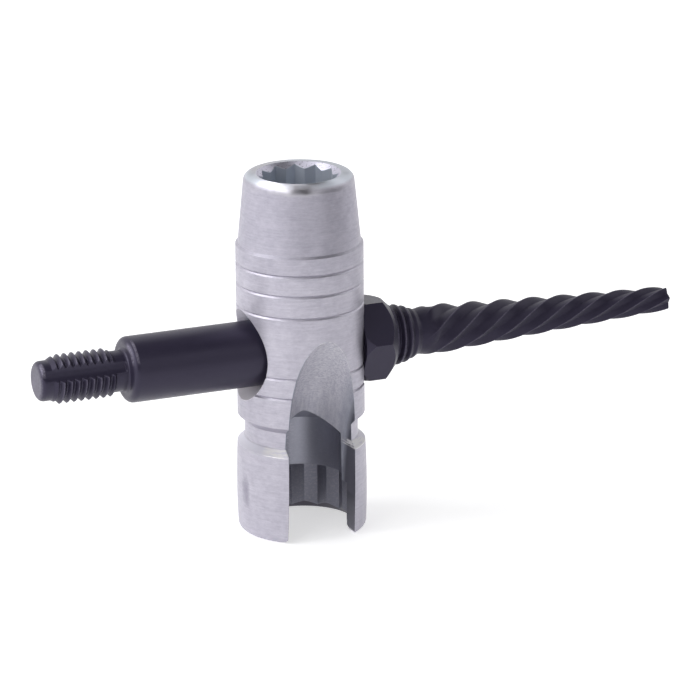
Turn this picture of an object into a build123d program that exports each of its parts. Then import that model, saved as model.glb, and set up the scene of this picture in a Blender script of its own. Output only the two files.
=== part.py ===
from build123d import *
import math
import os

os.makedirs("parts", exist_ok=True)

# Four-way hand tool for grease fittings: a turned steel body with a twelve-point socket at each
# end, a tap arm through its left side and a left-hand spiral screw extractor on its right side.
# All lengths are in millimetres. The body's axis is Z and it stands on its slotted end at Z = 0.
# Both arms lie on one axis along X, the extractor towards +X, and the slot opens towards -Y.

# Body blank
body_height = 60.0
body_diameter = 20.8
skirt_diameter = 21.3
skirt_top_diameter = 20.95
skirt_end_diameter = 20.9
nose_diameter = 17.8
nose_length = 11.5
nose_step = 0.4
nose_step_height = 0.35
top_edge_radius = 1.2
base_edge_radius = 1.1

# Neck groove above the skirt, and the fine decorative rings
neck_height = 17.25
neck_floor_width = 2.7
neck_depth = 1.15
neck_side_run = 1.1
ring_width = 0.5
ring_depth = 0.22
rings_below_nose = (3.1, 6.5, 10.2)
rings_above_neck = (5.0, 8.35)

# Twelve-point sockets, each the outline of two hexagons turned by 30 degrees
socket_hexagon_step = 30.0
top_socket_flats = 11.3
top_socket_depth = 13.0
top_socket_turn = 13.5
top_mouth_diameter = 13.7
base_socket_flats = 14.3
base_socket_depth = 8.1
base_socket_turn = 20.0
base_mouth_diameter = 17.6
bore_diameter = 13.4
bore_depth = 16.3
drill_point_angle = 118.0

# Slot, cut by a round-edged disc cutter that stops part way up and leaves a scoop
slot_width = 11.6
slot_shift = -0.2
slot_lean = 1.0
slot_corner_radius = 0.85
cutter_diameter = 74.2
cutter_edge_depth = 8.2
cutter_height = 6.9
cutter_reach = 1.5

# Arm axis and what the arms share with the body
arm_height = 30.55
shank_clearance = 0.06
thread_clearance = 0.05
drill_clearance = 0.8

# Tap arm
shank_diameter = 10.8
shank_reach = 30.7
shank_seat_depth = 5.4
shank_end_radius = 1.05
countersink_angle = 62.0
countersink_depth = 3.5
stud_diameter = 8.0
stud_length = 3.2
tap_diameter = 8.0
tap_thread_length = 10.4
tap_lead_length = 0.9
tap_neck_diameter = 6.7
tap_neck_length = 2.3
tap_neck_fillet = 0.45
pilot_diameter = 6.55
pilot_length = 2.2
pilot_end_radius = 0.9
flute_count = 3
flute_radius = 1.3
flute_core_diameter = 6.3
flute_turn = 152.0
flute_run_out = 0.5

# Lock nut and its seat on the body
nut_seat_depth = 1.4
nut_flats = 12.8
nut_thickness = 6.0
nut_turn = -5.6
nut_face_diameter = 11.3
nut_back_diameter = 13.3
nut_back_angle = 63.0
nut_bore_chamfer = 0.45
seat_clearance = 0.2

# Extractor arm
root_thread_diameter = 10.0
root_thread_engagement = 7.0
root_thread_stand_out = 1.3
root_taper_length = 2.6
root_taper_diameter = 8.3
root_neck_diameter = 7.2
root_neck_slope = 1.2
root_neck_length = 2.3
spiral_starts = 6
spiral_lead = 32.2
spiral_length = 43.45
spiral_root_diameter = 8.42
spiral_tip_diameter = 4.08
spiral_hollow = 0.465
spiral_fade_length = 3.0
spiral_start_step = 0.15
spiral_turn = -10.6
groove_share_root = 0.222
groove_share_tip = 0.28
groove_shape = 1.306
section_twist = 15.0

body_radius = body_diameter / 2
arm_axis = Axis((0, 0, arm_height), (1, 0, 0))
arm_profile = Plane(origin=(0, 0, arm_height), x_dir=(1, 0, 0), z_dir=(0, -1, 0))
point_slope = math.tan(math.radians(90 - drill_point_angle / 2))


def arm_section(x):
    return Plane(origin=(x, 0, arm_height), x_dir=(0, 1, 0), z_dir=(1, 0, 0))


def twelve_point(flats, turn):
    for step in (0, socket_hexagon_step):
        RegularPolygon(radius=flats / 2, side_count=6, major_radius=False, rotation=turn + step)


# Places along the arm axis, measured from the body's axis
shank_floor = body_radius - shank_seat_depth
countersink_start = body_radius - countersink_depth
countersink_slope = math.tan(math.radians(countersink_angle / 2))
nut_seat = body_radius - nut_seat_depth
nut_end = nut_seat + nut_thickness
root_thread_end = nut_end + root_thread_stand_out
root_taper_end = root_thread_end + root_taper_length
root_neck_start = root_taper_end + root_neck_slope
spiral_start = root_neck_start + root_neck_length
root_start = nut_seat - root_thread_engagement
nut_corner_diameter = nut_flats / math.cos(math.radians(30))

# Body
nose_start = body_height - nose_length
neck_half = neck_floor_width / 2 + neck_side_run
neck_low = neck_height - neck_half
neck_high = neck_height + neck_half
ring_heights = [neck_high + rise for rise in rings_above_neck]
ring_heights += [nose_start - drop for drop in reversed(rings_below_nose)]

wall_points = [
    (skirt_top_diameter / 2, neck_low),
    (body_radius - neck_depth, neck_height - neck_floor_width / 2),
    (body_radius - neck_depth, neck_height + neck_floor_width / 2),
    (body_radius, neck_high),
]
for height in ring_heights:
    wall_points += [
        (body_radius, height - ring_width / 2),
        (body_radius - ring_depth, height),
        (body_radius, height + ring_width / 2),
    ]
wall_points += [
    (body_radius, nose_start - nose_step_height / 2),
    (body_radius - nose_step, nose_start + nose_step_height / 2),
    (nose_diameter / 2, body_height),
    (0, body_height),
    (0, 0),
    (skirt_end_diameter / 2, 0),
]

with BuildPart() as body:
    with BuildSketch(Plane.XZ):
        with BuildLine():
            Polyline(*wall_points)
            ThreePointArc(wall_points[-1], (skirt_diameter / 2, neck_low / 2), wall_points[0])
        make_face()
    revolve(axis=Axis.Z)
    fillet(body.faces().sort_by(Axis.Z)[-1].edges(), top_edge_radius)
    fillet(body.faces().sort_by(Axis.Z)[0].edges(), base_edge_radius)

    # Top socket with its chamfered mouth
    with BuildSketch(Plane.XY.offset(body_height)):
        twelve_point(top_socket_flats, top_socket_turn)
    extrude(amount=-top_socket_depth, mode=Mode.SUBTRACT)
    with Locations((0, 0, body_height)):
        Cone(
            bottom_radius=0,
            top_radius=top_mouth_diameter / 2,
            height=top_mouth_diameter / 2,
            align=(Align.CENTER, Align.CENTER, Align.MAX),
            mode=Mode.SUBTRACT,
        )

    # Bottom socket, its drilled bore with the drill's point, and its chamfered mouth
    with BuildSketch(Plane.XY):
        twelve_point(base_socket_flats, base_socket_turn)
    extrude(amount=base_socket_depth, mode=Mode.SUBTRACT)
    with BuildSketch(Plane.XZ):
        with BuildLine():
            Polyline(
                (0, 0),
                (bore_diameter / 2, 0),
                (bore_diameter / 2, bore_depth),
                (0, bore_depth + bore_diameter / 2 * point_slope),
                close=True,
            )
        make_face()
    revolve(axis=Axis.Z, mode=Mode.SUBTRACT)
    with Locations((0, 0, 0)):
        Cone(
            bottom_radius=base_mouth_diameter / 2,
            top_radius=0,
            height=base_mouth_diameter / 2,
            align=(Align.CENTER, Align.CENTER, Align.MIN),
            mode=Mode.SUBTRACT,
        )

    # Slot: the cutter's round edge turned about its axis at the stop, and run straight down.
    # It leans a little towards the extractor as it rises.
    lean = math.radians(slot_lean)
    slot_across = (math.cos(lean), 0, -math.sin(lean))
    slot_upwards = (math.sin(lean), 0, math.cos(lean))
    stop_plane = Plane(origin=(slot_shift, 0, 0), x_dir=slot_across, z_dir=slot_upwards)
    stop_plane = stop_plane.offset(cutter_height)
    cutter_centre = cutter_reach - cutter_diameter / 2
    slot_inner = cutter_reach - cutter_edge_depth
    slot_outer = -skirt_diameter
    with BuildSketch(stop_plane) as cutter_edge:
        with Locations((0, slot_inner)):
            Ellipse(slot_width / 2, cutter_edge_depth)
            Rectangle(slot_width, slot_inner - slot_outer, align=(Align.CENTER, Align.MAX))
    extrude(amount=-2 * cutter_height, mode=Mode.SUBTRACT)
    revolve(
        cutter_edge.sketch,
        axis=Axis(stop_plane.from_local_coords((0, cutter_centre, 0)), slot_across),
        revolution_arc=90,
        mode=Mode.SUBTRACT,
    )

    # The slot's two walls are rounded where they run out at the lower end
    corner_top = 2 * slot_corner_radius
    corner_shift = corner_top * math.tan(lean)
    left_wall = slot_shift - slot_width / 2 / math.cos(lean)
    right_wall = slot_shift + slot_width / 2 / math.cos(lean)
    left_round = left_wall - slot_corner_radius * (1 - math.sin(lean)) / math.cos(lean)
    right_round = right_wall + slot_corner_radius * (1 + math.sin(lean)) / math.cos(lean)
    with BuildSketch(Plane.XZ):
        with BuildLine():
            left_arc = CenterArc((left_round, slot_corner_radius), slot_corner_radius, 270, 90 - slot_lean)
            right_arc = CenterArc((right_round, slot_corner_radius), slot_corner_radius, 270, -90 - slot_lean)
            Polyline(
                left_arc @ 1,
                (left_wall + corner_shift, corner_top),
                (right_wall + corner_shift, corner_top),
                right_arc @ 1,
            )
            Polyline(
                left_arc @ 0,
                (left_round, -slot_corner_radius),
                (right_round, -slot_corner_radius),
                right_arc @ 0,
            )
        make_face()
    extrude(amount=skirt_diameter, mode=Mode.SUBTRACT)

    # Left side: countersunk hole for the tap arm's shank, then the tapped hole for its stud
    stud_hole_end = shank_floor - stud_length - drill_clearance
    shank_hole_radius = shank_diameter / 2 + shank_clearance
    stud_hole_radius = stud_diameter / 2 + thread_clearance
    countersink_mouth = shank_hole_radius + countersink_slope * (body_diameter - countersink_start)
    with BuildSketch(arm_profile):
        with BuildLine():
            Polyline(
                (-body_diameter, 0),
                (-body_diameter, countersink_mouth),
                (-countersink_start, shank_hole_radius),
                (-shank_floor, shank_hole_radius),
                (-shank_floor, stud_hole_radius),
                (-stud_hole_end, stud_hole_radius),
                (-stud_hole_end, 0),
                close=True,
            )
        make_face()
    revolve(axis=arm_axis, mode=Mode.SUBTRACT)

    # Right side: spot-faced seat for the lock nut, then the tapped hole for the extractor's root
    root_hole_radius = root_thread_diameter / 2 + thread_clearance
    with BuildSketch(arm_profile):
        with BuildLine():
            Polyline(
                (body_diameter, 0),
                (body_diameter, nut_corner_diameter / 2 + seat_clearance),
                (nut_seat, nut_corner_diameter / 2 + seat_clearance),
                (nut_seat, root_hole_radius),
                (root_start, root_hole_radius),
                (root_start, 0),
                close=True,
            )
        make_face()
    revolve(axis=arm_axis, mode=Mode.SUBTRACT)

body.part.label = "body"

# Tap arm: stud, shank, neck, thread blank with its lead, and pilot, then the flutes
stud_end = shank_floor - stud_length
thread_start = shank_reach + tap_neck_length
thread_end = thread_start + tap_thread_length
pilot_end = thread_end + pilot_length
thread_rise = (tap_diameter - tap_neck_diameter) / 2

with BuildPart() as tap_arm:
    with BuildSketch(arm_profile):
        with BuildLine():
            shoulder = CenterArc(
                (-shank_reach + shank_end_radius, shank_diameter / 2 - shank_end_radius),
                shank_end_radius,
                90,
                90,
            )
            hollow = CenterArc(
                (-shank_reach - tap_neck_fillet, tap_neck_diameter / 2 + tap_neck_fillet),
                tap_neck_fillet,
                0,
                -90,
            )
            pilot_edge = CenterArc(
                (-pilot_end + pilot_end_radius, pilot_diameter / 2 - pilot_end_radius),
                pilot_end_radius,
                90,
                90,
            )
            Polyline(
                pilot_edge @ 1,
                (-pilot_end, 0),
                (-stud_end, 0),
                (-stud_end, stud_diameter / 2),
                (-shank_floor, stud_diameter / 2),
                (-shank_floor, shank_diameter / 2),
                shoulder @ 0,
            )
            Line(shoulder @ 1, hollow @ 0)
            Polyline(
                hollow @ 1,
                (-thread_start, tap_neck_diameter / 2),
                (-thread_start - thread_rise, tap_diameter / 2),
                (-thread_end + tap_lead_length, tap_diameter / 2),
                (-thread_end, pilot_diameter / 2),
                pilot_edge @ 0,
            )
        make_face()
    revolve(axis=arm_axis)
    flute_centre = flute_core_diameter / 2 + flute_radius
    with BuildSketch(arm_section(-shank_reach - flute_run_out)):
        for number in range(flute_count):
            turn = math.radians(flute_turn + 360 / flute_count * number)
            with Locations((flute_centre * math.cos(turn), flute_centre * math.sin(turn))):
                Circle(flute_radius)
    extrude(amount=-pilot_end, mode=Mode.SUBTRACT)

tap_arm.part.label = "tap_arm"

# Lock nut: a hexagon chamfered at both ends, bored for the extractor's root thread
cone_reach = nut_corner_diameter / 2 + nut_bore_chamfer
back_rise = (cone_reach - nut_back_diameter / 2) * math.tan(math.radians(nut_back_angle))
face_drop = cone_reach - nut_face_diameter / 2

with BuildPart() as lock_nut:
    with BuildSketch(arm_section(nut_seat)):
        RegularPolygon(radius=nut_flats / 2, side_count=6, major_radius=False, rotation=nut_turn)
    extrude(amount=nut_thickness)
    with BuildSketch(arm_profile):
        with BuildLine():
            Polyline(
                (nut_seat, root_hole_radius),
                (nut_seat, nut_back_diameter / 2),
                (nut_seat + back_rise, cone_reach),
                (nut_end - face_drop, cone_reach),
                (nut_end, nut_face_diameter / 2),
                (nut_end, root_hole_radius + nut_bore_chamfer),
                (nut_end - nut_bore_chamfer, root_hole_radius),
                close=True,
            )
        make_face()
    revolve(axis=arm_axis, mode=Mode.INTERSECT)

lock_nut.part.label = "lock_nut"


# Extractor arm: threaded root bottomed in its hole, run-out, neck, and the tapered spiral
def groove_ring(x):
    share = (x - spiral_start) / spiral_length
    fade = min((x - spiral_start) / spiral_fade_length, 1.0)
    fade = fade * fade * (3 - 2 * fade)
    straight = spiral_root_diameter + (spiral_tip_diameter - spiral_root_diameter) * share
    taper = straight / 2 - spiral_hollow * share * (1 - share)
    ridge = (root_neck_diameter / 2 - spiral_start_step) * (1 - fade) + taper * fade
    depth = (groove_share_root + (groove_share_tip - groove_share_root) * share) * fade
    twist = spiral_turn - 360 * (x - spiral_start) / spiral_lead
    width = 360 / spiral_starts
    points = []
    for step in range(4 * spiral_starts):
        across = step % 4 / 4
        cut = 1 - abs(2 * across - 1) ** groove_shape
        angle = math.radians(twist + width * step / 4)
        radius = ridge * (1 - depth * cut)
        points.append((radius * math.cos(angle), radius * math.sin(angle)))
    return points


spiral_end = spiral_start + spiral_length
section_count = math.ceil(360 * spiral_length / spiral_lead / section_twist)

with BuildPart() as extractor_arm:
    with BuildSketch(arm_profile):
        with BuildLine():
            Polyline(
                (root_start, 0),
                (root_start, root_thread_diameter / 2),
                (root_thread_end, root_thread_diameter / 2),
                (root_taper_end, root_taper_diameter / 2),
                (root_neck_start, root_neck_diameter / 2),
                (spiral_start, root_neck_diameter / 2),
                (spiral_start, 0),
                close=True,
            )
        make_face()
    revolve(axis=arm_axis)
    for index in range(section_count + 1):
        x = spiral_start + spiral_length * index / section_count
        ring = groove_ring(x)
        with BuildSketch(arm_section(x)):
            with BuildLine():
                for start in range(0, len(ring), 4):
                    Spline(*ring[start : start + 4], ring[(start + 4) % len(ring)])
            make_face()
    loft()

extractor_arm.part.label = "extractor_arm"

export_step(body.part, "parts/body.step")
export_step(tap_arm.part, "parts/tap_arm.step")
export_step(lock_nut.part, "parts/lock_nut.step")
export_step(extractor_arm.part, "parts/extractor_arm.step")
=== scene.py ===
# Four-way grease fitting tool: a turned zinc body with a socket at each end,
# a black tap arm on its left and a black spiral extractor on its right.
import math

import bpy
from mathutils import Matrix, Vector


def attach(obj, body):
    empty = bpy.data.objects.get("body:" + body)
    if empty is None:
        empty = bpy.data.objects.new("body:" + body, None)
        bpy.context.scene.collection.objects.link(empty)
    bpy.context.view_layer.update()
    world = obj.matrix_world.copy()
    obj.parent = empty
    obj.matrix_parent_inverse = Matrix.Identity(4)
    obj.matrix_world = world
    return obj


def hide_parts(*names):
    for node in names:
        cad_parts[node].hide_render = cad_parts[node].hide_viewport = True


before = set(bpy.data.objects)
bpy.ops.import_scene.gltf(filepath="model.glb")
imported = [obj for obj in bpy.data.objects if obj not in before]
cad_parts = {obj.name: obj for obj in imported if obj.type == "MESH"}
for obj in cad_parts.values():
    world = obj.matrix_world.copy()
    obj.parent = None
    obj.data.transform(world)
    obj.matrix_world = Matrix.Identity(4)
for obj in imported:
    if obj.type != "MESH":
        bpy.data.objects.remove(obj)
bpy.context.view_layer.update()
print("frame loaded:", ", ".join(sorted(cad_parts)))

# All sizes below are in millimetres unless a comment says otherwise
mm = 0.001
armHeight = 30.55  # the arms' common axis above the floor


def hexColour(code):
    # sRGB hex to the linear colour that sockets take
    parts = [int(code[i : i + 2], 16) / 255 for i in (1, 3, 5)]
    return [c / 12.92 if c <= 0.04045 else ((c + 0.055) / 1.055) ** 2.4 for c in parts] + [1.0]


def addNode(tree, kind, inputs=(), **settings):
    # inputs is a list in socket order, or a dictionary by socket name or number
    node = tree.nodes.new(kind)
    for name, value in settings.items():
        setattr(node, name, value)
    for key, value in inputs.items() if isinstance(inputs, dict) else enumerate(inputs):
        if isinstance(value, bpy.types.Node):
            value = next(s for s in value.outputs if s.enabled)
        if isinstance(value, bpy.types.NodeSocket):
            tree.links.new(value, node.inputs[key])
        else:
            node.inputs[key].default_value = value
    return node


def addBand(tree, value, rise, fall):
    # 1 inside a stretch and 0 outside it, with a ramp at each end
    risen = addNode(tree, "ShaderNodeMapRange", [value, rise[0], rise[1], 0.0, 1.0])
    kept = addNode(tree, "ShaderNodeMapRange", [value, fall[0], fall[1], 1.0, 0.0])
    return addNode(tree, "ShaderNodeMath", [risen, kept], operation="MULTIPLY")


def joinMasks(tree, masks, operation):
    # MULTIPLY keeps what all the masks share, MAXIMUM what any of them covers
    joined = masks[0]
    for mask in masks[1:]:
        joined = addNode(tree, "ShaderNodeMath", [joined, mask], operation=operation)
    return joined


def layColours(tree, ground, layers):
    # Lays each colour over the ones before it, through its mask
    for mask, over in layers:
        ground = addNode(tree, "ShaderNodeMix", {0: mask, 6: ground, 7: over}, data_type="RGBA")
    return ground


def startMaterial(name):
    # An empty material, and the object's own place in millimetres
    material = bpy.data.materials.new(name)
    material.use_nodes = True
    tree = material.node_tree
    tree.nodes.clear()
    place = addNode(tree, "ShaderNodeTexCoord").outputs["Object"]
    inMm = addNode(tree, "ShaderNodeVectorMath", {0: place, "Scale": 1 / mm}, operation="SCALE")
    return material, tree, inMm


# Camera: solved from the photograph's outline, so it has the photograph's viewing angle
cameraSettings = {
    "azimuth": -22.54,
    "elevation": 17.66,
    "roll": -0.457,
    "distance": 0.8503,  # metres, as are the next three
    "lookHeight": 0.03055,
    "sideways": -0.008062,
    "upwards": 0.000557,
    "lens": 268.6,
    "sensor": 36,
}


def makeCamera(settings):
    turn, rise, roll = (math.radians(settings[k]) for k in ("azimuth", "elevation", "roll"))
    right = Vector((math.cos(turn), math.sin(turn), 0))
    back = Vector((math.sin(turn) * math.cos(rise), -math.cos(turn) * math.cos(rise), math.sin(rise)))
    up = back.cross(right)
    rolledRight = right * math.cos(roll) + up * math.sin(roll)
    rolledUp = up * math.cos(roll) - right * math.sin(roll)
    place = Vector((0, 0, settings["lookHeight"])) + back * settings["distance"]
    place -= rolledRight * settings["sideways"] + rolledUp * settings["upwards"]
    data = bpy.data.cameras.new("camera")
    data.lens = settings["lens"]
    data.sensor_width = settings["sensor"]
    data.clip_start, data.clip_end = 0.01, 50
    camera = bpy.data.objects.new("camera", data)
    turnMatrix = Matrix((rolledRight, rolledUp, back)).transposed()
    camera.matrix_world = Matrix.Translation(place) @ turnMatrix.to_4x4()
    bpy.context.scene.collection.objects.link(camera)
    bpy.context.scene.camera = camera


makeCamera(cameraSettings)
print("camera placed")

# Finishes
zincSettings = {
    "roughness": 0.42,
    "lineSpacing": 0.3,  # between the turning lines that show
    "lineDepth": 0.028,
    "grainSize": 0.27,
    "edgeRadius": 0.12,
}
zincColours = {
    "bright": "#c8c5d0",
    "dull": "#aeabb8",
    # Painted shade for the nose
    "noseShade": "#eeeef0",  # multiplies the two above
    "leftDarkening": "#8c8898",
    "scoopBright": "#eeecf4",
    "scoopDull": "#c9c7d5",
    "scoopEdgeShade": "#868e9f",
    "topSocket": "#c6ccd6",
    "topChamfer": "#c2c0ce",
    "bore": "#a3a4b0",
    "facetShade": "#878793",
    # Dark: painted shade at the lower mouth, and the colour of the pits by the neck and of the spots on the
    # top chamfer
    "mouth": "#454150",
    "slotSideShade": "#63626e",
    # Painted light on the countersink under the tap arm's shank
    "countersinkLight": "#f0ebf3",
    "bevelGlint": "#e0deea",
    "burrGlint": "#f2f0f2",
    "burnished": "#bcbac2",
}
turnedOxide = {
    "colour": "#2b2738",
    # Lighter skin for worn edges and crests, and for the tap arm's painted highlights
    "worn": "#8c8798",
    "roughness": 0.38,
    "gloss": 0.52,
    "grit": 0.35,
}
rolledOxide = {
    "colour": "#282435",
    "worn": "#6a6577",
    "roughness": 0.47,
    "gloss": 0.42,
    "grit": 0.28,
}
# Where the body's features lie, for the finish that each of them has
bodyForm = {
    "wall": 8.6,  # every face of the sockets is nearer to the axis
    "topMouth": 6.86,
    "slotWidth": 11.6,
    "slotShift": -0.2,
    "slotLean": 1.0,  # degrees
    "cutterRadius": 37.1,
    "cutterEdgeDepth": 8.2,
    "cutterReach": 1.5,
    "cutterHeight": 6.9,
    "shankHole": 5.46,
    "coneStart": -6.9,
    "coneAngle": 31,  # degrees from the arm's axis
}


def addNoises(tree, inMm, radius, angle, z, settings):
    # Cloudy patches, fine grain, upright scratches, and the lathe's lines: noise that is long round the body
    # and short along it, with the shorter ripple that the plating leaves on the lines
    look = {"Vector": inMm, "Scale": 0.5, "Detail": 6.0, "Roughness": 0.75}
    cloud = addNode(tree, "ShaderNodeTexNoise", look)
    lines = 0.0
    for turns, crowding, detail, rough, share in ((1.6, 1.0, 4.0, 0.65, 0.45), (9.5, 1.2, 3.0, 0.7, 0.55)):
        around = addNode(tree, "ShaderNodeMath", [angle, turns], operation="MULTIPLY")
        along = addNode(tree, "ShaderNodeMath", [z, crowding / settings["lineSpacing"]], operation="MULTIPLY")
        wrapped = addNode(tree, "ShaderNodeCombineXYZ", [around, radius, along])
        look = {"Vector": wrapped, "Scale": 1.0, "Detail": detail, "Roughness": rough}
        noise = addNode(tree, "ShaderNodeTexNoise", look)
        lines = addNode(tree, "ShaderNodeMath", [noise, share, lines], operation="MULTIPLY_ADD")
    fine = 1 / settings["grainSize"]
    patterns = []
    for stretch, rough in (((0.45 * fine, fine, fine), 0.7), ((2.4, 0.5, 0.38), 0.6)):
        stretched = addNode(tree, "ShaderNodeVectorMath", [inMm, stretch], operation="MULTIPLY")
        look = {"Vector": stretched, "Scale": 1.0, "Detail": 3.0, "Roughness": rough}
        patterns.append(addNode(tree, "ShaderNodeTexNoise", look))
    grain, scratches = patterns
    return cloud, lines, grain, scratches


def addScoop(tree, inMm, x, z, form):
    # The torus that the round-edged cutter left above the slot, and the way from the slot's leaning middle
    fromAxis = (0, form["cutterRadius"] - form["cutterReach"], -form["cutterHeight"])
    beside = addNode(tree, "ShaderNodeVectorMath", [inMm, (0, 1, 1), fromAxis], operation="MULTIPLY_ADD")
    reach = addNode(tree, "ShaderNodeVectorMath", [beside], operation="LENGTH")
    ring = form["cutterRadius"] - form["cutterEdgeDepth"]
    beyond = addNode(tree, "ShaderNodeMath", [reach, ring], operation="SUBTRACT")
    outward = addNode(tree, "ShaderNodeMath", [beyond, form["cutterEdgeDepth"]], operation="DIVIDE")
    lean = -math.tan(math.radians(form["slotLean"]))
    upright = addNode(tree, "ShaderNodeMath", [z, lean, x], operation="MULTIPLY_ADD")
    fromSlot = addNode(tree, "ShaderNodeMath", [upright, form["slotShift"]], operation="SUBTRACT")
    aside = addNode(tree, "ShaderNodeMath", [fromSlot, form["slotWidth"] / 2], operation="DIVIDE")
    section = addNode(tree, "ShaderNodeCombineXYZ", [outward, aside])
    tube = addNode(tree, "ShaderNodeVectorMath", [section], operation="LENGTH")
    fromEdge = addNode(tree, "ShaderNodeMath", [tube, 1.0], operation="SUBTRACT")
    distance = addNode(tree, "ShaderNodeMath", [fromEdge], operation="ABSOLUTE")
    onTorus = addNode(tree, "ShaderNodeMapRange", [distance, 0.01, 0.022, 1.0, 0.0])
    low = form["cutterHeight"]
    above = addNode(tree, "ShaderNodeMapRange", [z, low - 0.4, low + 0.1, 0.0, 1.0])
    return joinMasks(tree, [onTorus, above], "MULTIPLY"), fromSlot


def addCountersink(tree, inMm, x, z, form):
    # The cone round the tap arm, below the shank, painted light over the shank's shadow
    down = (0, 0, -armHeight)
    aroundArm = addNode(tree, "ShaderNodeVectorMath", [inMm, (0, 1, 1), down], operation="MULTIPLY_ADD")
    fromArm = addNode(tree, "ShaderNodeVectorMath", [aroundArm], operation="LENGTH")
    fromHole = addNode(tree, "ShaderNodeMath", [fromArm, form["shankHole"]], operation="SUBTRACT")
    start = form["coneStart"]
    along = addNode(tree, "ShaderNodeMath", [x, start], operation="SUBTRACT")
    slope = math.tan(math.radians(form["coneAngle"]))
    offCone = addNode(tree, "ShaderNodeMath", [along, slope, fromHole], operation="MULTIPLY_ADD")
    distance = addNode(tree, "ShaderNodeMath", [offCone], operation="ABSOLUTE")
    onCone = addNode(tree, "ShaderNodeMapRange", [distance, 0.05, 0.1, 1.0, 0.0])
    outer = addNode(tree, "ShaderNodeMapRange", [x, start + 0.1, start - 0.1, 0.0, 1.0])
    below = addNode(tree, "ShaderNodeMapRange", [z, 27.5, 25.0, 0.0, 1.0])
    return joinMasks(tree, [onCone, outer, below], "MULTIPLY")


def addLeftDarkening(tree, cloud, angle, z):
    # Darker on the skirt's left side: an upright oval with a cloudy edge
    around = addNode(tree, "ShaderNodeMapRange", [angle, -3.0, -2.85, 0.0, 1.0], clamp=False)
    along = addNode(tree, "ShaderNodeMapRange", [z, 7.6, 11.0, 0.0, 1.0], clamp=False)
    oval = addNode(tree, "ShaderNodeCombineXYZ", [around, along])
    reach = addNode(tree, "ShaderNodeVectorMath", [oval, oval], operation="DOT_PRODUCT")
    cloudy = addNode(tree, "ShaderNodeMath", [cloud, 1.2, reach], operation="MULTIPLY_ADD")
    return addNode(tree, "ShaderNodeMapRange", [cloudy, 1.4, 0.5, 0.0, 0.8])


def addWornNormal(tree, flatPlace, radius, uneven, wornAway, edgeRadius):
    # The worn edge is rounder than its true radius: its normal leans outward at the mouth already
    rounded = addNode(tree, "ShaderNodeBevel", {"Radius": edgeRadius * mm}, samples=4)
    across = addNode(tree, "ShaderNodeMapRange", [radius, 6.85, 8.25, math.radians(46), math.radians(61)])
    down = addNode(tree, "ShaderNodeMapRange", [uneven, 59.7, 58.2, 0.0, math.radians(29)])
    lean = addNode(tree, "ShaderNodeMath", [across, down], operation="ADD")
    outward = addNode(tree, "ShaderNodeVectorMath", [flatPlace], operation="NORMALIZE")
    spread = addNode(tree, "ShaderNodeMath", [lean], operation="SINE")
    level = addNode(tree, "ShaderNodeVectorMath", {0: outward, "Scale": spread}, operation="SCALE")
    upward = addNode(tree, "ShaderNodeMath", [lean], operation="COSINE")
    upright = addNode(tree, "ShaderNodeCombineXYZ", {2: upward})
    risen = addNode(tree, "ShaderNodeVectorMath", [level, upright], operation="ADD")
    worn = addNode(tree, "ShaderNodeVectorMath", [risen], operation="NORMALIZE")
    return addNode(tree, "ShaderNodeMix", {0: wornAway, 4: rounded, 5: worn}, data_type="VECTOR")


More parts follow.
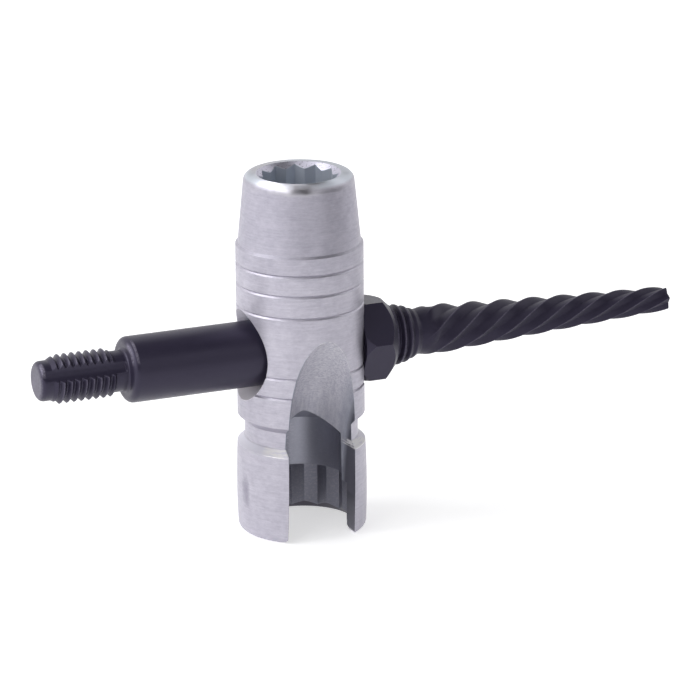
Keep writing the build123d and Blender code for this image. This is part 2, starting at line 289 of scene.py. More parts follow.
def makeZincPlate(settings, colours, form):
    # Zinc plate on turned steel: a satin lilac-grey metal with fine lathe lines round it, paler in the scoop
    material, tree, inMm = startMaterial("zincPlatedTurnedSteel")
    paint = {name: hexColour(code) for name, code in colours.items()}
    x, y, z = addNode(tree, "ShaderNodeSeparateXYZ", [inMm]).outputs
    flatPlace = addNode(tree, "ShaderNodeVectorMath", [inMm, (1, 1, 0)], operation="MULTIPLY")
    radius = addNode(tree, "ShaderNodeVectorMath", [flatPlace], operation="LENGTH")
    angle = addNode(tree, "ShaderNodeMath", [y, x], operation="ARCTAN2")
    normal = addNode(tree, "ShaderNodeNewGeometry").outputs["Normal"]
    normalX, _, normalZ = addNode(tree, "ShaderNodeSeparateXYZ", [normal]).outputs
    facesUp = addNode(tree, "ShaderNodeMapRange", [normalZ, 0.4, 0.6, 0.0, 1.0])

    # Relief: lathe lines outside, and in the scoop a grain that gives way to scratches lower down
    scoop, fromSlot = addScoop(tree, inMm, x, z, form)
    cloud, lines, grain, scratches = addNoises(tree, inMm, radius, angle, z, settings)
    scratched = addNode(tree, "ShaderNodeMapRange", [z, 27.0, 21.0, 0.0, 0.65])
    milling = addNode(tree, "ShaderNodeMix", {0: scratched, 2: grain, 3: scratches}, data_type="FLOAT")
    faint = addNode(tree, "ShaderNodeMath", [milling, 0.35], operation="MULTIPLY")
    relief = addNode(tree, "ShaderNodeMix", {0: scoop, 2: lines, 3: faint}, data_type="FLOAT")
    patches = addNode(tree, "ShaderNodeMath", [cloud, 0.4], operation="MULTIPLY")
    blend = addNode(tree, "ShaderNodeMath", [relief, 0.6, patches], operation="MULTIPLY_ADD")

    # Outside: streaked plate with painted shade on the nose, a darker oval on the skirt's left side, and
    # small dark pits round the neck
    streaks = addNode(tree, "ShaderNodeMapRange", [blend, 0.36, 0.64, 0.0, 1.0])
    plate = layColours(tree, paint["dull"], [(streaks, paint["bright"])])
    # Painted shade: the plate is multiplied darker on the nose
    noseShade = addNode(tree, "ShaderNodeMapRange", [z, 43.0, 50.0, 0.0, 1.0])
    shaded = {0: noseShade, 6: plate, 7: paint["noseShade"]}
    plate = addNode(tree, "ShaderNodeMix", shaded, data_type="RGBA", blend_type="MULTIPLY")
    nearNeck = addBand(tree, z, (13.0, 14.5), (22.0, 28.0))
    holes = addNode(tree, "ShaderNodeMapRange", [grain, 0.33, 0.26, 0.0, 0.5])
    pits = joinMasks(tree, [nearNeck, holes], "MULTIPLY")
    leftDarkening = addLeftDarkening(tree, cloud, angle, z)
    plate = layColours(tree, plate, [(leftDarkening, paint["leftDarkening"]), (pits, paint["mouth"])])

    # Scoop: pale, with painted bluish shade near its edges and lower down
    skin = addNode(tree, "ShaderNodeMapRange", [milling, 0.36, 0.62, 0.0, 1.0])
    leftEdge = addNode(tree, "ShaderNodeMapRange", [fromSlot, -2.6, -4.8, 0.0, 0.9])
    rightEdge = addNode(tree, "ShaderNodeMapRange", [fromSlot, 4.2, 5.6, 0.0, 0.6])
    lower = addNode(tree, "ShaderNodeMapRange", [z, 24.0, 18.5, 0.0, 0.2])
    edgeShade = joinMasks(tree, [leftEdge, rightEdge, lower], "MAXIMUM")
    milled = layColours(tree, paint["scoopDull"], [(skin, paint["scoopBright"])])
    milled = layColours(tree, milled, [(edgeShade, paint["scoopEdgeShade"])])

    # Sockets: a bore painted in shade, with painted glints as bright specks, above facets painted in deeper
    # shade; and a spotted chamfer at the top mouth
    outside = addNode(tree, "ShaderNodeMapRange", [radius, form["wall"], form["wall"] + 0.3, 0.0, 1.0])
    onSkin = joinMasks(tree, [outside, scoop], "MAXIMUM")
    inSockets = addNode(tree, "ShaderNodeMath", [1.0, onSkin], operation="SUBTRACT")
    facetShade = addNode(tree, "ShaderNodeMapRange", [z, 8.2, 8.0, 0.0, 1.0])
    # Painted glints: bright specks in the lower socket, more of them towards the left
    glintSpecks = addNode(tree, "ShaderNodeMapRange", [grain, 0.5, 0.6, 0.0, 0.9])
    leftward = addNode(tree, "ShaderNodeMapRange", [x, 1.5, -1.0, 0.15, 1.0])
    glintSpecks = joinMasks(tree, [glintSpecks, leftward], "MULTIPLY")
    lowSocket = layColours(tree, paint["bore"], [(facetShade, paint["facetShade"]), (glintSpecks, paint["bright"])])
    isLow = addNode(tree, "ShaderNodeMapRange", [z, 21.0, 18.0, 0.0, 1.0])
    inLowSocket = joinMasks(tree, [isLow, inSockets], "MULTIPLY")
    # Painted shade: the downward faces of the lower mouth at the floor take the dark colour
    facesDown = addNode(tree, "ShaderNodeMapRange", [normalZ, -0.3, -0.6, 0.0, 1.0])
    atFloor = addNode(tree, "ShaderNodeMapRange", [z, 1.9, 1.8, 0.0, 1.0])
    lowMouthShade = joinMasks(tree, [facesDown, inSockets, atFloor], "MULTIPLY")
    mouth = form["topMouth"]
    inMouth = addNode(tree, "ShaderNodeMapRange", [radius, mouth, mouth + 0.04, 1.0, 0.0])
    topChamfer = joinMasks(tree, [facesUp, inMouth], "MULTIPLY")
    spots = addNode(tree, "ShaderNodeMapRange", [grain, 0.36, 0.44, 0.35, 1.0])
    spotted = layColours(tree, paint["mouth"], [(spots, paint["topChamfer"])])

    # The milled sides of the slot face left and right, and are painted darker as shade
    steepness = addNode(tree, "ShaderNodeMath", [normalX], operation="ABSOLUTE")
    sideways = addNode(tree, "ShaderNodeMapRange", [steepness, 0.97, 0.99, 0.0, 1.0])
    inFront = addNode(tree, "ShaderNodeMapRange", [y, -3.0, -4.0, 0.0, 1.0])
    slotSideShade = joinMasks(tree, [sideways, inFront], "MULTIPLY")

    # The lower side of the neck groove is painted light as a highlight, with a burr beside the slot that
    # carries a painted glint
    onBevel = addBand(tree, z, (14.6, 14.75), (15.7, 15.9))
    litBevel = joinMasks(tree, [onBevel, facesUp], "MULTIPLY")
    # Painted glint on a real burr: bright ragged flakes on the bevel's left front, beside the slot
    besideSlot = addNode(tree, "ShaderNodeMapRange", [x, -9.2, -8.2, 0.0, 1.0])
    front = addNode(tree, "ShaderNodeMapRange", [y, -4.0, -5.0, 0.0, 1.0])
    layered = addNode(tree, "ShaderNodeVectorMath", [inMm, (0.5, 0.5, 3.2)], operation="MULTIPLY")
    flakes = addNode(tree, "ShaderNodeTexNoise", {"Vector": layered, "Scale": 1.0, "Detail": 2.0})
    ragged = addNode(tree, "ShaderNodeMapRange", [flakes, 0.42, 0.52, 0.15, 1.0])
    burrGlint = joinMasks(tree, [onBevel, besideSlot, front, ragged], "MULTIPLY")
    countersinkLight = addCountersink(tree, inMm, x, z, form)

    # The rounded top edge is worn, and burnished where the tool meets the hand
    offMiddle = addNode(tree, "ShaderNodeMath", [cloud, 0.5], operation="SUBTRACT")
    uneven = addNode(tree, "ShaderNodeMath", [offMiddle, 0.9, z], operation="MULTIPLY_ADD")
    high = addNode(tree, "ShaderNodeMapRange", [uneven, 58.3, 58.7, 0.0, 1.0])
    aboveMouth = addNode(tree, "ShaderNodeMapRange", [radius, mouth, mouth + 0.1, 0.0, 1.0])
    wornAway = joinMasks(tree, [high, aboveMouth], "MULTIPLY")
    fromRight = addNode(tree, "ShaderNodeMapRange", [x, -2.2, 1.6, 1.0, 0.3])
    fromLeft = addNode(tree, "ShaderNodeMapRange", [x, -7.6, -6.2, 0.25, 1.0])
    mottled = addNode(tree, "ShaderNodeMapRange", [blend, 0.4, 0.52, 0.55, 1.0])
    burnished = joinMasks(tree, [wornAway, fromRight, fromLeft, mottled], "MULTIPLY")

    colour = layColours(
        tree,
        paint["topSocket"],
        [
            (onSkin, layColours(tree, plate, [(scoop, milled)])),
            (inLowSocket, lowSocket),
            (slotSideShade, paint["slotSideShade"]),
            (lowMouthShade, paint["mouth"]),
            (topChamfer, spotted),
            (countersinkLight, paint["countersinkLight"]),
            (litBevel, paint["bevelGlint"]),
            (burrGlint, paint["burrGlint"]),
            (burnished, paint["burnished"]),
        ],
    )
    smooth = joinMasks(tree, [burnished, topChamfer], "MAXIMUM")
    rough = settings["roughness"]
    satin = addNode(tree, "ShaderNodeMapRange", [blend, 0.3, 0.7, rough + 0.06, rough - 0.04])
    smoothest = addNode(tree, "ShaderNodeMapRange", [topChamfer, 0.0, 1.0, 0.3, 0.42])
    roughness = addNode(tree, "ShaderNodeMapRange", [smooth, 0.0, 1.0, satin, smoothest])
    matt = joinMasks(tree, [scoop, litBevel, countersinkLight], "MAXIMUM")
    plain = addNode(tree, "ShaderNodeMapRange", [matt, 0.0, 1.0, 0.75, 0.15])
    metallic = addNode(tree, "ShaderNodeMapRange", [smooth, 0.0, 1.0, plain, 1.0])
    worn = addWornNormal(tree, flatPlace, radius, uneven, wornAway, settings["edgeRadius"])
    depth = settings["lineDepth"] * mm
    ridges = {"Strength": 0.7, "Distance": depth, "Height": relief, "Normal": worn}
    bump = addNode(tree, "ShaderNodeBump", ridges)
    surface = {"Base Color": colour, "Metallic": metallic, "Roughness": roughness, "Normal": bump}
    addNode(tree, "ShaderNodeOutputMaterial", [addNode(tree, "ShaderNodeBsdfPrincipled", surface)])
    return material


def makeBlackOxide(name, settings):
    # Black oxide on hardened steel: a thin dark skin with a slight purple cast and a soft oily sheen
    material, tree, inMm = startMaterial(name)
    fine = {"Vector": inMm, "Scale": 1 / settings["grit"], "Detail": 3.0, "Roughness": 0.6}
    grit = addNode(tree, "ShaderNodeTexNoise", fine)
    cloud = addNode(tree, "ShaderNodeTexNoise", {"Vector": inMm, "Scale": 0.25, "Detail": 4.0})
    patches = addNode(tree, "ShaderNodeMath", [cloud, 0.5], operation="MULTIPLY")
    blend = addNode(tree, "ShaderNodeMath", [grit, 0.5, patches], operation="MULTIPLY_ADD")
    # Worn where an edge turns away from its face, and lighter where the piece's own marks say so: worn
    # crests, and on the tap arm painted highlights
    rounded = addNode(tree, "ShaderNodeBevel", {"Radius": 0.1 * mm}, samples=4)
    flat = addNode(tree, "ShaderNodeNewGeometry").outputs["Normal"]
    turnAway = addNode(tree, "ShaderNodeVectorMath", [rounded, flat], operation="DOT_PRODUCT")
    atEdge = addNode(tree, "ShaderNodeMapRange", [turnAway, 0.9, 0.99, 0.45, 0.0])
    marked = addNode(tree, "ShaderNodeAttribute", attribute_name="wearAndHighlights").outputs["Fac"]
    patchy = addNode(tree, "ShaderNodeMapRange", [blend, 0.38, 0.6, 0.2, 1.0])
    wearAndHighlights = joinMasks(tree, [joinMasks(tree, [atEdge, marked], "MAXIMUM"), patchy], "MULTIPLY")
    colour = layColours(tree, hexColour(settings["colour"]), [(wearAndHighlights, hexColour(settings["worn"]))])
    rough = settings["roughness"]
    roughness = addNode(tree, "ShaderNodeMapRange", [blend, 0.3, 0.7, rough - 0.06, rough + 0.08])
    pitting = {"Strength": 0.35, "Distance": 0.01 * mm, "Height": blend, "Normal": rounded}
    surface = {
        "Base Color": colour,
        "Metallic": 0.0,
        "Specular IOR Level": settings["gloss"],
        "Specular Tint": hexColour("#e6e0ff"),
        "Roughness": roughness,
        "Normal": addNode(tree, "ShaderNodeBump", pitting),
    }
    addNode(tree, "ShaderNodeOutputMaterial", [addNode(tree, "ShaderNodeBsdfPrincipled", surface)])
    return material


zincPlate = makeZincPlate(zincSettings, zincColours, bodyForm)
blackTurned = makeBlackOxide("blackOxideTurnedSteel", turnedOxide)
blackRolled = makeBlackOxide("blackOxideRolledSteel", rolledOxide)
print("finishes made")

finishes = {"body": zincPlate, "lock_nut": blackTurned, "tap_arm": blackTurned, "extractor_arm": blackRolled}
for nodeName, material in finishes.items():
    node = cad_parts[nodeName]
    node.data.materials.clear()
    node.data.materials.append(material)

# Turned arms: each is a grid of stations along the arm by columns round it, bent into a closed form
columnsRound = 216
sharpAngle = 33  # degrees between two faces from which their edge stays sharp


def startTree(name, sizes):
    tree = bpy.data.node_groups.new(name, "GeometryNodeTree")
    tree.interface.new_socket("Geometry", in_out="OUTPUT", socket_type="NodeSocketGeometry")
    for label, value in sizes.items():
        socket = tree.interface.new_socket(label, in_out="INPUT", socket_type="NodeSocketFloat")
        socket.default_value = value
    return tree, addNode(tree, "NodeGroupInput").outputs


def addStations(tree, stations):
    # stations: (distance along the arm, radius, rows up to the next station)
    join = addNode(tree, "GeometryNodeJoinGeometry")
    for i, (_, _, rows) in enumerate(stations[:-1]):
        strip = addNode(tree, "GeometryNodeMeshGrid", [1.0, 2 * math.pi, rows + 1, columnsRound + 1])
        shift = {"Geometry": strip.outputs["Mesh"], "Translation": (i + 0.5, math.pi, 0)}
        moved = addNode(tree, "GeometryNodeTransform", shift)
        tree.links.new(moved.outputs[0], join.inputs[0])
    place = addNode(tree, "GeometryNodeInputPosition")
    station, angle, _ = addNode(tree, "ShaderNodeSeparateXYZ", [place]).outputs
    # Distance and radius start from the first station, and each stretch adds its own change
    sums = list(stations[0][:2])
    for i, (here, there) in enumerate(zip(stations, stations[1:])):
        for k in range(2):
            if here[k] != there[k]:
                change = addNode(tree, "ShaderNodeMapRange", [station, i, i + 1, 0.0, there[k] - here[k]])
                sums[k] = addNode(tree, "ShaderNodeMath", [sums[k], change], operation="ADD")
    along, radius = sums
    return join, station, angle, along, radius


def addThread(tree, along, angle, pitch, phase, crest, root, crestFlat):
    # Sixty-degree thread: the radius falls from the crest to the root and back once a pitch.
    # crestFlat and flankEnd are shares of the pitch, the second counted from the crest's middle
    flankEnd = 0.42
    turns = addNode(tree, "ShaderNodeMath", [angle, 1 / (2 * math.pi), phase], operation="MULTIPLY_ADD")
    pitches = addNode(tree, "ShaderNodeMath", [along, pitch], operation="DIVIDE")
    wound = addNode(tree, "ShaderNodeMath", [pitches, turns], operation="ADD")
    share = addNode(tree, "ShaderNodeMath", [wound], operation="FRACT")
    saw = addNode(tree, "ShaderNodeMath", [share, 0.5], operation="SUBTRACT")
    fromCrest = addNode(tree, "ShaderNodeMath", [saw], operation="ABSOLUTE")
    profile = addNode(tree, "ShaderNodeMapRange", [fromCrest, crestFlat / 2, flankEnd, crest, root])
    return profile, fromCrest


def endTree(tree, join, along, angle, radius, height, wearAndHighlights, material):
    # Bends the flat grid round the arm's axis, closes the seam and both poles, and keeps sharp edges sharp
    cosine = addNode(tree, "ShaderNodeMath", [angle], operation="COSINE")
    across = addNode(tree, "ShaderNodeMath", [radius, cosine], operation="MULTIPLY")
    sine = addNode(tree, "ShaderNodeMath", [angle], operation="SINE")
    upward = addNode(tree, "ShaderNodeMath", [radius, sine, height], operation="MULTIPLY_ADD")
    place = addNode(tree, "ShaderNodeCombineXYZ", [along, across, upward])
    mark = {"Geometry": join, "Name": "wearAndHighlights", "Value": wearAndHighlights}
    marked = addNode(tree, "GeometryNodeStoreNamedAttribute", mark, data_type="FLOAT", domain="POINT")
    bent = addNode(tree, "GeometryNodeSetPosition", {"Geometry": marked, "Position": place})
    closed = addNode(tree, "GeometryNodeMergeByDistance", {"Geometry": bent, "Distance": 0.002})
    sized = addNode(tree, "GeometryNodeTransform", {"Geometry": closed, "Scale": (mm, mm, mm)})
    allSmooth = {"Geometry": sized, "Shade Smooth": True}
    smooth = addNode(tree, "GeometryNodeSetShadeSmooth", allSmooth, domain="FACE")
    bend = addNode(tree, "GeometryNodeInputMeshEdgeAngle").outputs[0]
    crease = addNode(tree, "ShaderNodeMath", [bend, math.radians(sharpAngle)], operation="GREATER_THAN")
    sharpen = {"Geometry": smooth, "Selection": crease, "Shade Smooth": False}
    creased = addNode(tree, "GeometryNodeSetShadeSmooth", sharpen, domain="EDGE")
    real = addNode(tree, "GeometryNodeRealizeInstances", {"Geometry": creased})
    painted = addNode(tree, "GeometryNodeSetMaterial", {"Geometry": real, "Material": material})
    addNode(tree, "NodeGroupOutput", [painted])


def growPiece(name, tree, sizes):
    # Runs a tree on an empty mesh and keeps the plain mesh that it makes
    holder = bpy.data.objects.new(name + "Holder", bpy.data.meshes.new(name + "Empty"))
    bpy.context.scene.collection.objects.link(holder)
    modifier = holder.modifiers.new("form", "NODES")
    modifier.node_group = tree
    for item in tree.interface.items_tree:
        if item.item_type == "SOCKET" and item.in_out == "INPUT":
            modifier[item.identifier] = float(sizes[item.name])
    bpy.context.view_layer.update()
    result = holder.evaluated_get(bpy.context.evaluated_depsgraph_get())
    mesh = bpy.data.meshes.new_from_object(result)
    mesh.name = name
    piece = bpy.data.objects.new(name, mesh)
    bpy.context.scene.collection.objects.link(piece)
    holder.modifiers.remove(modifier)
    bpy.data.objects.remove(holder)
    return piece


# Tap arm: pilot, lead, thread, neck, shoulder and shank, from the end inwards
tapSizes = {
    "pitch": 1.25,
    "crest": 4.0,
    "root": 3.37,
    "threadPhase": 0.631,
    "fluteCore": 2.95,
    "fluteRadius": 1.75,
    "fluteTurn": math.radians(152),
    "height": armHeight,
}
tapOutline = {
    "tip": -45.6,
    "tipRound": 0.9,
    "pilotRadius": 3.275,
    "leadStart": -43.6,
    "leadEnd": -42.3,
    "threadEnd": -33.65,
    "neckStart": -33.0,
    "neckRadius": 3.35,
    "neckRound": 0.45,
    "cuttingEnd": -31.19,  # the thread and the flutes are cut up to here
    "shoulder": -30.7,
    "shoulderRound": 1.05,
    "shankRadius": 5.4,
    "shankEnd": -5.0,  # inside the body, as is the stud
    "studEnd": -1.8,
}
outOfReach = 10.0  # added to a cut's radius where nothing is to be cut


def roundCorner(centreX, centreRadius, radius, fromAngle, toAngle, rows):
    # Stations every 15 degrees along a rounded corner of the outline
    steps = abs(toAngle - fromAngle) // 15
    turns = [math.radians(fromAngle + (toAngle - fromAngle) * i / steps) for i in range(steps + 1)]
    corner = [(centreX + radius * math.cos(t), centreRadius + radius * math.sin(t), 2) for t in turns]
    return corner[:-1] + [corner[-1][:2] + (rows,)]


def makeTapStations(outline, crest):
    tip, shoulder = outline["tip"], outline["shoulder"]
    pilot, neck, shank = (outline[k] for k in ("pilotRadius", "neckRadius", "shankRadius"))
    tipRound, neckRound, shoulderRound = (outline[k] for k in ("tipRound", "neckRound", "shoulderRound"))
    stations = [(tip, 0.0, 8)]
    stations += roundCorner(tip + tipRound, pilot - tipRound, tipRound, 180, 90, 12)
    stations += [(outline["leadStart"], pilot, 24), (outline["leadEnd"], crest, 172)]
    stations += [(outline["threadEnd"], crest, 12), (outline["neckStart"], neck, 12)]
    stations += roundCorner(shoulder - neckRound, neck + neckRound, neckRound, 270, 360, 3)
    stations += roundCorner(shoulder + shoulderRound, shank - shoulderRound, shoulderRound, 180, 90, 2)
    # One more station soon after the shoulder, so that its painted highlights don't spread along the shank
    stations += [(shoulder + 1.35, shank, 10)]
    stations += [(outline["shankEnd"], shank, 2), (outline["shankEnd"], crest, 2)]
    return stations + [(outline["studEnd"], crest, 2), (outline["studEnd"], 0.0, 0)]


def addFlutes(tree, size, angle, away):
    # Three flutes: the near side of a circle set beside the axis
    turned = addNode(tree, "ShaderNodeMath", [angle, size["fluteTurn"]], operation="SUBTRACT")
    third = math.pi / 3
    aside = addNode(tree, "ShaderNodeMath", [turned, third, -third], operation="WRAP")
    fluteRadius = size["fluteRadius"]
    centre = addNode(tree, "ShaderNodeMath", [size["fluteCore"], fluteRadius], operation="ADD")
    cosine = addNode(tree, "ShaderNodeMath", [aside], operation="COSINE")
    reach = addNode(tree, "ShaderNodeMath", [centre, cosine], operation="MULTIPLY")
    sine = addNode(tree, "ShaderNodeMath", [aside], operation="SINE")
    offset = addNode(tree, "ShaderNodeMath", [centre, sine], operation="MULTIPLY")
    offsetSquare = addNode(tree, "ShaderNodeMath", [offset, offset], operation="MULTIPLY")
    radiusSquare = addNode(tree, "ShaderNodeMath", [fluteRadius, fluteRadius], operation="MULTIPLY")
    inside = addNode(tree, "ShaderNodeMath", [radiusSquare, offsetSquare], operation="SUBTRACT")
    beyond = addNode(tree, "ShaderNodeMath", [inside, 0.0], operation="LESS_THAN")
    missed = addNode(tree, "ShaderNodeMath", [beyond, outOfReach, away], operation="MULTIPLY_ADD")
    within = addNode(tree, "ShaderNodeMath", [inside, 0.0], operation="MAXIMUM")
    sunk = addNode(tree, "ShaderNodeMath", [within, 0.5], operation="POWER")
    wall = addNode(tree, "ShaderNodeMath", [reach, sunk], operation="SUBTRACT")
    return addNode(tree, "ShaderNodeMath", [wall, missed], operation="ADD")


def addTapWearAndGlints(tree, outline, cutting, fromCrest, along, angle, radius):
    # The skin is rubbed lighter on the crests and the end face is a little lighter; three painted highlights
    # lie as strokes on the
    # upper front: one at the tip's edge and two at the shoulder
    nearCrest = addNode(tree, "ShaderNodeMapRange", [fromCrest, 0.02, 0.14, 1.0, 0.0])
    standing = addNode(tree, "ShaderNodeMapRange", [radius, 3.6, 3.95, 0.0, 1.0])
    slight = addNode(tree, "ShaderNodeMath", [cutting, 0.45], operation="MULTIPLY")
    crestWear = joinMasks(tree, [nearCrest, standing, slight], "MULTIPLY")
    tip, shoulder = outline["tip"], outline["shoulder"]
    endFace = addNode(tree, "ShaderNodeMapRange", [along, tip + 0.25, tip + 0.1, 0.0, 0.42])
    glintStrokes = addBand(tree, along, (tip + 0.15, tip + 0.3), (tip + 0.7, tip + 0.85))
    for start, end in ((shoulder + 0.04, shoulder + 0.3), (shoulder + 0.7, shoulder + 1.1)):
        glintStroke = addBand(tree, along, (start - 0.05, start + 0.05), (end - 0.05, end + 0.05))
        fainter = addNode(tree, "ShaderNodeMath", [glintStroke, 0.8], operation="MULTIPLY")
        glintStrokes = joinMasks(tree, [glintStrokes, fainter], "MAXIMUM")
    upperFront = addBand(tree, angle, (1.75, 1.95), (2.6, 2.75))
    glintStrokes = joinMasks(tree, [glintStrokes, upperFront], "MULTIPLY")
    return joinMasks(tree, [crestWear, glintStrokes, endFace], "MAXIMUM")


def makeTapTree(sizes, outline, material):
    tree, size = startTree("tapArmForm", sizes)
    stations = makeTapStations(outline, sizes["crest"])
    join, _, angle, along, blank = addStations(tree, stations)
    pitch, phase, crest, root = (size[k] for k in ("pitch", "threadPhase", "crest", "root"))
    thread, fromCrest = addThread(tree, along, angle, pitch, phase, crest, root, crestFlat=0.05)
    # Past their end the thread and the flutes are moved too far out to cut anything
    cutting = addNode(tree, "ShaderNodeMath", [along, outline["cuttingEnd"]], operation="LESS_THAN")
    ended = addNode(tree, "ShaderNodeMath", [1.0, cutting], operation="SUBTRACT")
    away = addNode(tree, "ShaderNodeMath", [ended, outOfReach], operation="MULTIPLY")
    threadCut = addNode(tree, "ShaderNodeMath", [thread, away], operation="ADD")
    fluteCut = addFlutes(tree, size, angle, away)
    threaded = addNode(tree, "ShaderNodeMath", [blank, threadCut], operation="MINIMUM")
    radius = addNode(tree, "ShaderNodeMath", [threaded, fluteCut], operation="MINIMUM")
    wearAndHighlights = addTapWearAndGlints(tree, outline, cutting, fromCrest, along, angle, radius)
    endTree(tree, join, along, angle, radius, size["height"], wearAndHighlights, material)
    return tree


tapArm = growPiece("tapArm", makeTapTree(tapSizes, tapOutline, blackTurned), tapSizes)
print("tap arm:", len(tapArm.data.polygons), "faces")

# Extractor arm: threaded root, run-out, neck, then six left-hand ridges that taper to the tip
extractorSizes = {
    "pitch": 1.36,
    "crest": 5.0,
    "root": 4.4,
    "threadPhase": 0.766,
    "neckEnd": 20.1,
    "neckRadius": 3.72,
    "spiralStart": 22.4,
    "spiralLength": 43.44,
    "spiralLead": 32.2,
    "spiralTurn": math.radians(-10.6),
    "ridgeRoot": 4.21,
    "ridgeTip": 2.04,
    "hollow": 0.465,
    "grooveRoot": 0.222,
    "grooveTip": 0.28,
    "height": armHeight,
}
ridgeCount = 6


def makeExtractorStations(sizes):
    crest, neck = sizes["crest"], sizes["neckRadius"]
    tip = sizes["spiralStart"] + sizes["spiralLength"]
    stations = [(2.0, 0.0, 3), (2.0, crest, 8), (14.6, crest, 26), (16.5, crest, 16)]
    stations += [(17.75, 4.74, 16), (19.1, 4.24, 12)]  # the run-out
    return stations + [(sizes["neckEnd"], neck, 220), (tip, neck, 12), (tip, 0.0, 0)]


def addRidges(tree, size, column, past):
    # Between the ridges the surface is scooped out, more so towards the tip; the taper itself is a little
    # hollow, and the ridges rise out of the neck
    share = addNode(tree, "ShaderNodeMath", [past, size["spiralLength"]], operation="DIVIDE")
    taper = addNode(tree, "ShaderNodeMapRange", [share, 0.0, 1.0, size["ridgeRoot"], size["ridgeTip"]])
    rest = addNode(tree, "ShaderNodeMath", [1.0, share], operation="SUBTRACT")
    bow = joinMasks(tree, [share, rest, size["hollow"]], "MULTIPLY")
    ridge = addNode(tree, "ShaderNodeMath", [taper, bow], operation="SUBTRACT")
    ramps = []
    for start, end in ((-2.3, 0.6), (-1.6, 2.6)):
        stretch = [past, start, end, 0.0, 1.0]
        ramps.append(addNode(tree, "ShaderNodeMapRange", stretch, interpolation_type="SMOOTHSTEP"))
    swelling, fade = ramps
    rising = addNode(tree, "ShaderNodeMapRange", [swelling, 0.0, 1.0, size["neckRadius"], ridge])

    grooves = addNode(tree, "ShaderNodeMath", [column, ridgeCount / (2 * math.pi)], operation="MULTIPLY")
    groove = addNode(tree, "ShaderNodeMath", [grooves], operation="FRACT")
    centred = addNode(tree, "ShaderNodeMath", [groove, 2.0, -1.0], operation="MULTIPLY_ADD")
    fromMiddle = addNode(tree, "ShaderNodeMath", [centred], operation="ABSOLUTE")
    flank = addNode(tree, "ShaderNodeMath", [fromMiddle, 1.306], operation="POWER")
    cut = addNode(tree, "ShaderNodeMath", [1.0, flank], operation="SUBTRACT")
    deepening = [share, 0.0, 1.0, size["grooveRoot"], size["grooveTip"]]
    deepest = addNode(tree, "ShaderNodeMapRange", deepening)
    depth = joinMasks(tree, [deepest, fade, cut], "MULTIPLY")
    kept = addNode(tree, "ShaderNodeMath", [1.0, depth], operation="SUBTRACT")
    nearRidge = addNode(tree, "ShaderNodeMapRange", [fromMiddle, 0.9, 1.0, 0.0, 1.0])
    return joinMasks(tree, [rising, kept], "MULTIPLY"), joinMasks(tree, [nearRidge, fade], "MULTIPLY")


def makeExtractorTree(sizes, stations, material):
    tree, size = startTree("extractorForm", sizes)
    join, station, column, along, blank = addStations(tree, stations)
    tipStation = len(stations) - 2
    neckStation = tipStation - 1
    past = addNode(tree, "ShaderNodeMath", [along, size["spiralStart"]], operation="SUBTRACT")
    # The columns turn with the ridges from the neck on, so each ridge runs along one column
    neck = addNode(tree, "ShaderNodeMath", [size["neckEnd"], size["spiralStart"]], operation="SUBTRACT")
    turning = addNode(tree, "ShaderNodeMath", [past, neck], operation="MAXIMUM")
    turns = addNode(tree, "ShaderNodeMath", [turning, size["spiralLead"]], operation="DIVIDE")
    wind = [turns, -2 * math.pi, size["spiralTurn"]]
    twist = addNode(tree, "ShaderNodeMath", wind, operation="MULTIPLY_ADD")
    angle = addNode(tree, "ShaderNodeMath", [column, twist], operation="ADD")
    spiral, ridgeWear = addRidges(tree, size, column, past)
    closing = addNode(tree, "ShaderNodeMapRange", [station, tipStation, tipStation + 1, 1.0, 0.0])
    capped = joinMasks(tree, [spiral, closing], "MULTIPLY")

    # The root's thread starts past the flat inner end and fades with the run-out
    drop = addNode(tree, "ShaderNodeMath", [size["root"], size["crest"]], operation="SUBTRACT")
    pitch, phase = size["pitch"], size["threadPhase"]
    thread, fromCrest = addThread(tree, along, angle, pitch, phase, 0.0, drop, crestFlat=0.26)
    fading = addNode(tree, "ShaderNodeMapRange", [along, 17.4, 19.9, 1.0, 0.0])
    started = addNode(tree, "ShaderNodeMapRange", [station, 0.98, 1.0, 0.0, 1.0])
    threading = joinMasks(tree, [thread, fading, started], "MULTIPLY")
    root = addNode(tree, "ShaderNodeMath", [blank, threading], operation="ADD")
    onSpiral = addNode(tree, "ShaderNodeMath", [station, neckStation + 0.001], operation="GREATER_THAN")
    radius = addNode(tree, "ShaderNodeMix", {0: onSpiral, 2: root, 3: capped}, data_type="FLOAT")

    # The skin is worn on the crests of the thread and of the ridges
    nearCrest = addNode(tree, "ShaderNodeMapRange", [fromCrest, 0.02, 0.14, 1.0, 0.0])
    crestWear = joinMasks(tree, [nearCrest, fading], "MULTIPLY")
    wearAndHighlights = joinMasks(tree, [crestWear, ridgeWear], "MAXIMUM")
    endTree(tree, join, along, angle, radius, size["height"], wearAndHighlights, material)
    return tree


extractorStations = makeExtractorStations(extractorSizes)
extractorTree = makeExtractorTree(extractorSizes, extractorStations, blackRolled)
extractorArm = growPiece("extractorArm", extractorTree, extractorSizes)
print("extractor arm:", len(extractorArm.data.polygons), "faces")

for piece, nodeName in ((tapArm, "tap_arm"), (extractorArm, "extractor_arm")):
    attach(piece, "root")
    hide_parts(nodeName)

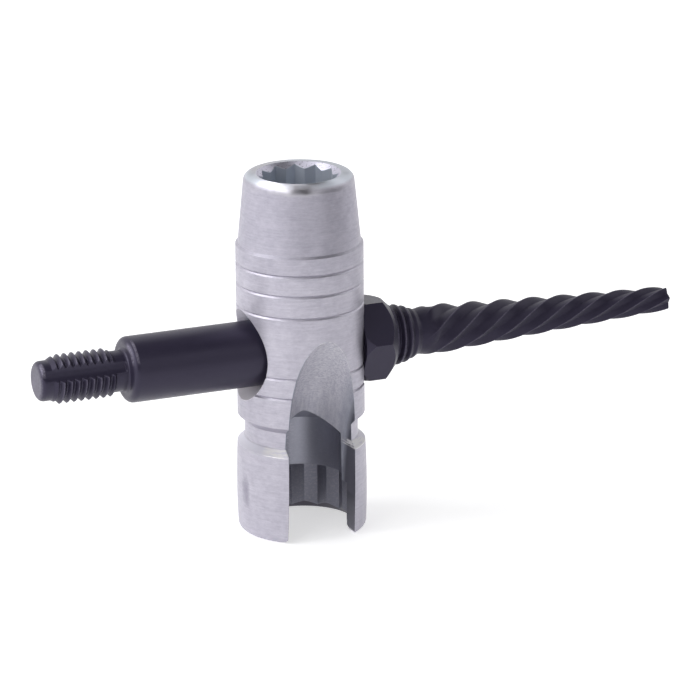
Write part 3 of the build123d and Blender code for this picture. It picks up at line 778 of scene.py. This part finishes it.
# Floor and light: pale paper, a large lamp on the left, and dark cards overhead, in front and on the right
# that the steel mirrors. Places and sizes here are in metres
stageSettings = {
    "floorColour": "#f0f0f1",
    "floorSize": 4.0,
    "worldLight": 0.6,
    "whiteLift": 0.56,  # what the paper is raised by where it is seen or mirrored
    "cardColour": "#2c2c30",
}
cards = {
    "cardOverhead": {
        "place": (0.26, -0.09, 0.62),
        "facing": (0.1, -0.09, 0.03),
        "width": 0.9,
        "height": 0.46,
    },
    "cardFront": {"place": (-0.16, -0.62, 0.36), "facing": (0, 0, 0.06), "width": 0.5, "height": 0.46},
    "cardRight": {"place": (0.5, -0.42, 0.13), "facing": (0, 0, 0.1), "width": 0.7, "height": 0.26},
}
lamps = {
    "keyLeft": {"place": (-0.75, 0.15, 0.62), "width": 0.6, "height": 0.5, "power": 4.3},
    "fillFront": {"place": (-0.85, -0.5, 0.6), "width": 0.5, "height": 0.5, "power": 1.7},
    "fillRight": {"place": (0.9, -0.1, 0.5), "width": 0.4, "height": 0.4, "power": 0.35},
}
lampTarget = (0, 0, 0.03)


def makePlane(name, width, height, material):
    mesh = bpy.data.meshes.new(name)
    x, y = width / 2, height / 2
    mesh.from_pydata([(-x, -y, 0), (x, -y, 0), (x, y, 0), (-x, y, 0)], [], [(0, 1, 2, 3)])
    mesh.materials.append(material)
    plane = bpy.data.objects.new(name, mesh)
    bpy.context.scene.collection.objects.link(plane)
    return plane


def aim(thing, place, target):
    thing.location = place
    thing.rotation_euler = (Vector(target) - Vector(place)).to_track_quat("-Z", "Y").to_euler()


def addSeen(tree):
    # 1 where a surface is seen straight, mirrored in metal or through glass
    rays = addNode(tree, "ShaderNodeLightPath").outputs
    kinds = ("Is Camera Ray", "Is Glossy Ray", "Is Transmission Ray")
    return joinMasks(tree, [rays[kind] for kind in kinds], "MAXIMUM")


def makeFloor(settings):
    # Pale matt paper that takes the tool's shadow, raised towards white where it is seen
    paper = bpy.data.materials.new("palePaper")
    paper.use_nodes = True
    tree = paper.node_tree
    tree.nodes.clear()
    matt = addNode(tree, "ShaderNodeBsdfDiffuse", [hexColour(settings["floorColour"])])
    raised = addNode(tree, "ShaderNodeMath", [addSeen(tree), settings["whiteLift"]], operation="MULTIPLY")
    lift = addNode(tree, "ShaderNodeEmission", [(1, 1, 1, 1), raised])
    addNode(tree, "ShaderNodeOutputMaterial", [addNode(tree, "ShaderNodeAddShader", [matt, lift])])
    floor = makePlane("floor", settings["floorSize"], settings["floorSize"], paper)
    floor.location.z = -0.02 * mm


def makeCards(cards, colour):
    # Black felt: matt, and nearly no light comes back from it
    felt = bpy.data.materials.new("blackFelt")
    felt.use_nodes = True
    tree = felt.node_tree
    tree.nodes.clear()
    matt = addNode(tree, "ShaderNodeBsdfDiffuse", [hexColour(colour)])
    addNode(tree, "ShaderNodeOutputMaterial", [matt])
    for name, card in cards.items():
        plane = makePlane(name, card["width"], card["height"], felt)
        aim(plane, card["place"], card["facing"])
        plane.visible_camera = False


def makeLight(worldLight, lamps):
    world = bpy.data.worlds.new("studio")
    bpy.context.scene.world = world
    world.use_nodes = True
    tree = world.node_tree
    tree.nodes.clear()
    strength = addNode(tree, "ShaderNodeMapRange", [addSeen(tree), 0.0, 1.0, worldLight, 1.0])
    background = addNode(tree, "ShaderNodeBackground", [(1, 1, 1, 1), strength])
    addNode(tree, "ShaderNodeOutputWorld", [background])
    for name, lamp in lamps.items():
        data = bpy.data.lights.new(name, "AREA")
        data.shape = "RECTANGLE"
        data.size, data.size_y, data.energy = lamp["width"], lamp["height"], lamp["power"]
        light = bpy.data.objects.new(name, data)
        aim(light, lamp["place"], lampTarget)
        bpy.context.scene.collection.objects.link(light)


makeFloor(stageSettings)
makeCards(cards, stageSettings["cardColour"])
makeLight(stageSettings["worldLight"], lamps)
bpy.context.scene.view_settings.view_transform = "Standard"
print("stage set")
